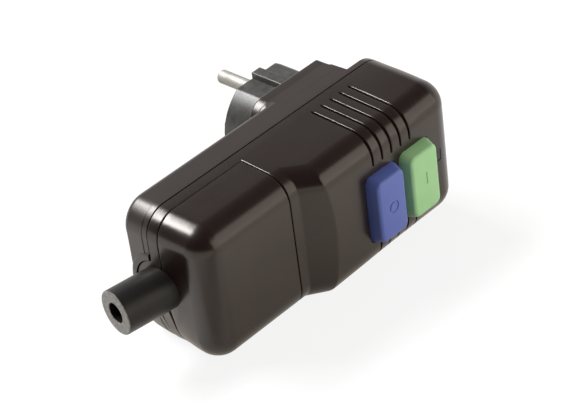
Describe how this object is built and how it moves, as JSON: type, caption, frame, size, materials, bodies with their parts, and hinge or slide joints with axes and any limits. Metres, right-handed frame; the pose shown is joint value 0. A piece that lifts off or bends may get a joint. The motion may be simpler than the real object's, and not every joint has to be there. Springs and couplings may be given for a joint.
{
  "type": "rcd adapter plug",
  "caption": "Right-angle mains plug with a built-in residual current device: round pins at the back, blue test and green reset buttons in front, and a rubber cable sleeve at one end.",
  "frame": {"origin": "centre of the plug face, midway between the contact pins", "axes": "+Y out of the plug face along the pins, +X along the body away from the cable end, +Z across the pins, up as pictured"},
  "size_m": [0.1265, 0.0886, 0.0504],
  "materials": {
    "housing_black": "glossy moulded brown-black plastic",
    "insert_grey": "satin charcoal moulding",
    "nickel": "nickel plated, slightly dull",
    "earth_metal": "plated spring brass",
    "sleeve_rubber": "matte soft rubber",
    "clamp_grey": "plain moulded",
    "screw_steel": "zinc plated",
    "inner_white": "plain moulded",
    "terminal_brass": "bare brass",
    "copper": "bare copper",
    "earth_sheath": "insulated wire",
    "board_green": "bare laminate",
    "ferrite": "coated ring core",
    "coil_steel": "soft iron, plated",
    "spring_steel": "spring wire",
    "contact_bronze": "contact bronze",
    "flag_red": "plain moulded",
    "window_dark": "smoked clear plastic",
    "button_blue": "satin moulded",
    "button_green": "satin moulded"
  },
  "bodies": {
    "housing": {"rear_shell": "housing_black", "front_housing": "housing_black", "terminal_cover": "housing_black", "plug_insert": "insert_grey", "line_pin": "nickel", "neutral_pin": "nickel", "earth_strap": "earth_metal", "earth_socket": "earth_metal", "cable_sleeve": "sleeve_rubber", "cable_clamp": "clamp_grey", "clamp_screws": "screw_steel", "terminal_screws": "screw_steel", "housing_screws": "screw_steel", "cover_screws": "screw_steel", "latch_pin": "screw_steel", "terminal_block": "inner_white", "coil_bobbin": "inner_white", "mechanism_frame": "inner_white", "line_terminal": "terminal_brass", "neutral_terminal": "terminal_brass", "earth_terminal": "terminal_brass", "line_conductor": "copper", "neutral_conductor": "copper", "coil_winding": "copper", "earth_conductor": "earth_sheath", "circuit_board": "board_green", "transformer_ring": "ferrite", "coil_yoke": "coil_steel", "plunger_spring": "spring_steel", "opening_spring": "spring_steel", "test_spring": "spring_steel", "reset_spring": "spring_steel", "fixed_contacts": "contact_bronze", "test_blade": "contact_bronze", "indicator_window": "window_dark"},
    "test_button": {"test_button": "button_blue"},
    "reset_button": {"reset_button": "button_green"},
    "contact_carrier": {"contact_carrier": "inner_white", "moving_contacts": "contact_bronze", "indicator_flag": "flag_red"},
    "trip_plunger": {"trip_plunger": "coil_steel"},
    "latch_lever": {"latch_lever": "inner_white"}
  },
  "joints": [
    {"name": "test_press", "type": "slide", "parent": "housing", "child": "test_button", "axis": [0, 1, 0], "range_m": [0, 0.002], "stiffness_N_per_m": 400, "deforming": ["test_spring"]},
    {"name": "reset_press", "type": "slide", "parent": "housing", "child": "reset_button", "axis": [0, 1, 0], "range_m": [0, 0.003], "stiffness_N_per_m": 400, "deforming": ["reset_spring"]},
    {"name": "contacts_close", "type": "slide", "parent": "housing", "child": "contact_carrier", "axis": [0, -1, 0], "range_m": [0, 0.002], "stiffness_N_per_m": 300, "deforming": ["opening_spring"]},
    {"name": "plunger_pull", "type": "slide", "parent": "housing", "child": "trip_plunger", "axis": [-1, 0, 0], "range_m": [0, 0.0015], "stiffness_N_per_m": 300, "deforming": ["plunger_spring"]},
    {"name": "latch_turn", "type": "hinge", "parent": "housing", "child": "latch_lever", "pos_m": [-0.0077, -0.0502, 0], "axis": [0, 0, 1], "range_deg": [0, 18]}
  ],
  "couplings": [
    {"joint": "latch_turn", "follows": "plunger_pull", "rad_per_m": 186.17}
  ]
}
